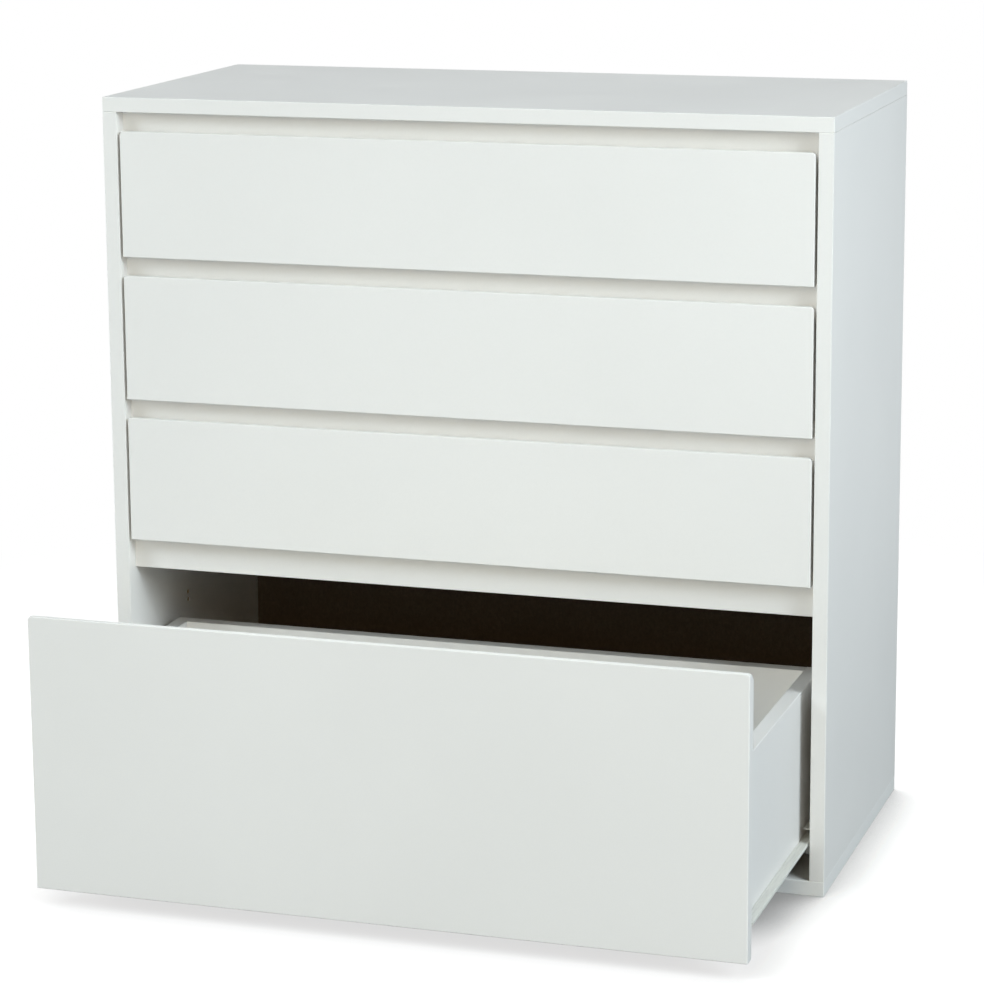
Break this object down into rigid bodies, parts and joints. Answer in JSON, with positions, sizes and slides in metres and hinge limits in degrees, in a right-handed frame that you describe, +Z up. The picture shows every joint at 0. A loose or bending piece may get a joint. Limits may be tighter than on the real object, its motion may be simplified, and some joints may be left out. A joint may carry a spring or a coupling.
{
  "type": "storage chest",
  "caption": "White chest of wide drawers with inset handle-less fronts, finger gaps and roller runners; the deep bottom drawer stands open.",
  "frame": {"origin": "on the floor, under the middle of the carcass", "axes": "+Z up, -Y towards the drawer fronts, +X to the right as seen from the front"},
  "size_m": [0.8, 0.644, 0.82],
  "materials": {
    "white_board": "satin white foil on particle board",
    "white_hardboard": "matte white lacquer on hardboard",
    "brown_hardboard": "smooth dark brown hardboard",
    "beech_dowel": "plain fluted beech",
    "runner_steel": "white epoxy coating",
    "roller_nylon": "grey-white nylon"
  },
  "bodies": {
    "cabinet": {"top_panel": "white_board", "bottom_panel": "white_board", "left_side_panel": "white_board", "right_side_panel": "white_board", "back_panel": "brown_hardboard", "top_rail": "white_board", "upper_rail": "white_board", "middle_rail": "white_board", "lower_rail": "white_board", "carcass_dowels": "beech_dowel", "drawer_1_left_channel": "runner_steel", "drawer_1_right_channel": "runner_steel", "drawer_2_left_channel": "runner_steel", "drawer_2_right_channel": "runner_steel", "drawer_3_left_channel": "runner_steel", "drawer_3_right_channel": "runner_steel", "drawer_4_left_channel": "runner_steel", "drawer_4_right_channel": "runner_steel"},
    "drawer_1": {"drawer_1_front": "white_board", "drawer_1_left_side": "white_board", "drawer_1_right_side": "white_board", "drawer_1_back": "white_board", "drawer_1_bottom": "white_hardboard", "drawer_1_left_runner": "runner_steel", "drawer_1_right_runner": "runner_steel"},
    "drawer_1_front_rollers": {"drawer_1_front_rollers": "roller_nylon"},
    "drawer_1_rear_rollers": {"drawer_1_rear_rollers": "roller_nylon"},
    "drawer_2": {"drawer_2_front": "white_board", "drawer_2_left_side": "white_board", "drawer_2_right_side": "white_board", "drawer_2_back": "white_board", "drawer_2_bottom": "white_hardboard", "drawer_2_left_runner": "runner_steel", "drawer_2_right_runner": "runner_steel"},
    "drawer_2_front_rollers": {"drawer_2_front_rollers": "roller_nylon"},
    "drawer_2_rear_rollers": {"drawer_2_rear_rollers": "roller_nylon"},
    "drawer_3": {"drawer_3_front": "white_board", "drawer_3_left_side": "white_board", "drawer_3_right_side": "white_board", "drawer_3_back": "white_board", "drawer_3_bottom": "white_hardboard", "drawer_3_left_runner": "runner_steel", "drawer_3_right_runner": "runner_steel"},
    "drawer_3_front_rollers": {"drawer_3_front_rollers": "roller_nylon"},
    "drawer_3_rear_rollers": {"drawer_3_rear_rollers": "roller_nylon"},
    "drawer_4": {"drawer_4_front": "white_board", "drawer_4_left_side": "white_board", "drawer_4_right_side": "white_board", "drawer_4_back": "white_board", "drawer_4_bottom": "white_hardboard", "drawer_4_left_runner": "runner_steel", "drawer_4_right_runner": "runner_steel"},
    "drawer_4_front_rollers": {"drawer_4_front_rollers": "roller_nylon"},
    "drawer_4_rear_rollers": {"drawer_4_rear_rollers": "roller_nylon"}
  },
  "joints": [
    {"name": "drawer_1_slide", "type": "slide", "parent": "cabinet", "child": "drawer_1", "axis": [0, -1, 0], "range_m": [0, 0.29985]},
    {"name": "drawer_1_front_roller_spin", "type": "hinge", "parent": "cabinet", "child": "drawer_1_front_rollers", "pos_m": [0, -0.159, 0.673], "axis": [1, 0, 0], "range_deg": [-10, 1728]},
    {"name": "drawer_1_rear_roller_spin", "type": "hinge", "parent": "drawer_1", "child": "drawer_1_rear_rollers", "pos_m": [0, 0.16085, 0.6833], "axis": [1, 0, 0], "range_deg": [-10, 1728]},
    {"name": "drawer_2_slide", "type": "slide", "parent": "cabinet", "child": "drawer_2", "axis": [0, -1, 0], "range_m": [0, 0.29985]},
    {"name": "drawer_2_front_roller_spin", "type": "hinge", "parent": "cabinet", "child": "drawer_2_front_rollers", "pos_m": [0, -0.159, 0.516], "axis": [1, 0, 0], "range_deg": [-10, 1728]},
    {"name": "drawer_2_rear_roller_spin", "type": "hinge", "parent": "drawer_2", "child": "drawer_2_rear_rollers", "pos_m": [0, 0.16085, 0.5263], "axis": [1, 0, 0], "range_deg": [-10, 1728]},
    {"name": "drawer_3_slide", "type": "slide", "parent": "cabinet", "child": "drawer_3", "axis": [0, -1, 0], "range_m": [0, 0.29985]},
    {"name": "drawer_3_front_roller_spin", "type": "hinge", "parent": "cabinet", "child": "drawer_3_front_rollers", "pos_m": [0, -0.159, 0.359], "axis": [1, 0, 0], "range_deg": [-10, 1728]},
    {"name": "drawer_3_rear_roller_spin", "type": "hinge", "parent": "drawer_3", "child": "drawer_3_rear_rollers", "pos_m": [0, 0.16085, 0.3693], "axis": [1, 0, 0], "range_deg": [-10, 1728]},
    {"name": "drawer_4_slide", "type": "slide", "parent": "cabinet", "child": "drawer_4", "axis": [0, -1, 0], "range_m": [-0.262, 0.03785]},
    {"name": "drawer_4_front_roller_spin", "type": "hinge", "parent": "cabinet", "child": "drawer_4_front_rollers", "pos_m": [0, -0.159, 0.045], "axis": [1, 0, 0], "range_deg": [-1511.1, 226.9]},
    {"name": "drawer_4_rear_roller_spin", "type": "hinge", "parent": "drawer_4", "child": "drawer_4_rear_rollers", "pos_m": [0, -0.10115, 0.0553], "axis": [1, 0, 0], "range_deg": [-1511.1, 226.9]}
  ],
  "couplings": [
    {"joint": "drawer_1_front_roller_spin", "follows": "drawer_1_slide", "rad_per_m": 100},
    {"joint": "drawer_1_rear_roller_spin", "follows": "drawer_1_slide", "rad_per_m": 100},
    {"joint": "drawer_2_front_roller_spin", "follows": "drawer_2_slide", "rad_per_m": 100},
    {"joint": "drawer_2_rear_roller_spin", "follows": "drawer_2_slide", "rad_per_m": 100},
    {"joint": "drawer_3_front_roller_spin", "follows": "drawer_3_slide", "rad_per_m": 100},
    {"joint": "drawer_3_rear_roller_spin", "follows": "drawer_3_slide", "rad_per_m": 100},
    {"joint": "drawer_4_front_roller_spin", "follows": "drawer_4_slide", "rad_per_m": 100},
    {"joint": "drawer_4_rear_roller_spin", "follows": "drawer_4_slide", "rad_per_m": 100}
  ]
}
